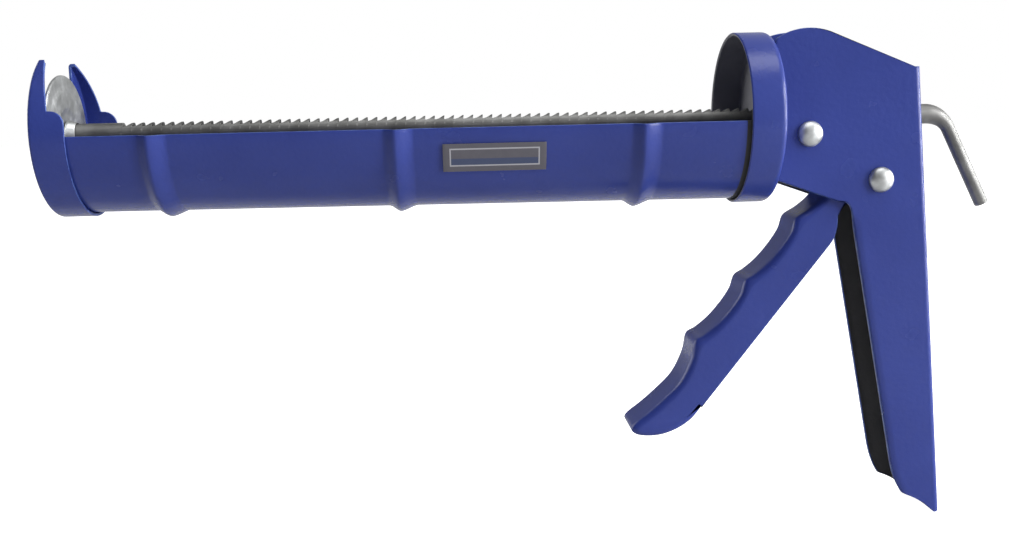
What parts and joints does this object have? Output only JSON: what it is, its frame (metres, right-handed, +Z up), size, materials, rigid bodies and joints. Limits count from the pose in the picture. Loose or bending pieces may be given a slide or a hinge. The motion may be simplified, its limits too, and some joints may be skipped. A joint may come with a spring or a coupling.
{
  "type": "caulking gun",
  "caption": "Hand caulking gun with a half-barrel cradle, toothed push rod with a hooked end, ratchet trigger and channel-section handle.",
  "frame": {"origin": "on the rod's axis at the flat front end of the rod, with the rod fully forward", "axes": "+X back along the rod towards the pull hook, +Z up, the handle hangs down and the near side is -Y"},
  "size_m": [0.2987, 0.0548, 0.1583],
  "materials": {
    "blue_paint": "gloss royal-blue paint",
    "plated_steel": "satin zinc plate",
    "zinc_rod": "drawn and zinc plated, satin",
    "spring_steel": "oiled spring steel",
    "hard_steel": "hardened, dark",
    "label_film": "plain printed film"
  },
  "bodies": {
    "frame": {"cradle": "blue_paint", "front_cap": "blue_paint", "rear_cup": "blue_paint", "handle": "blue_paint", "guide_rivet": "plated_steel", "pivot_rivet": "plated_steel", "pivot_bush": "plated_steel", "pivot_washer_near": "plated_steel", "pivot_washer_far": "plated_steel", "holding_catch": "spring_steel", "return_spring": "spring_steel", "label": "label_film"},
    "trigger": {"trigger": "blue_paint", "pawl_pin": "plated_steel", "pawl_spacer": "plated_steel", "pawl_spring": "spring_steel"},
    "pawl": {"pawl": "hard_steel"},
    "plunger": {"plunger_plate": "plated_steel", "plunger_hub": "plated_steel"},
    "rod": {"rod": "zinc_rod"}
  },
  "joints": [
    {"name": "trigger_pivot", "type": "hinge", "parent": "frame", "child": "trigger", "pos_m": [0.258, 0, -0.0202], "axis": [0, -1, 0], "range_deg": [0, 36], "stiffness_Nm_per_rad": 0.25, "springref_deg": -57.3, "deforming": ["return_spring"]},
    {"name": "pawl_pivot", "type": "hinge", "parent": "trigger", "child": "pawl", "pos_m": [0.26059, 0, -0.01054], "axis": [0, -1, 0], "range_deg": [-36, 0]},
    {"name": "plunger_slide", "type": "slide", "parent": "frame", "child": "plunger", "axis": [1, 0, 0], "range_m": [0, 0.215]},
    {"name": "rod_turn", "type": "hinge", "parent": "plunger", "child": "rod", "pos_m": [0, 0, 0], "axis": [1, 0, 0], "continuous": true}
  ],
  "couplings": [
    {"joint": "pawl_pivot", "follows": "trigger_pivot", "ratio": -1}
  ]
}
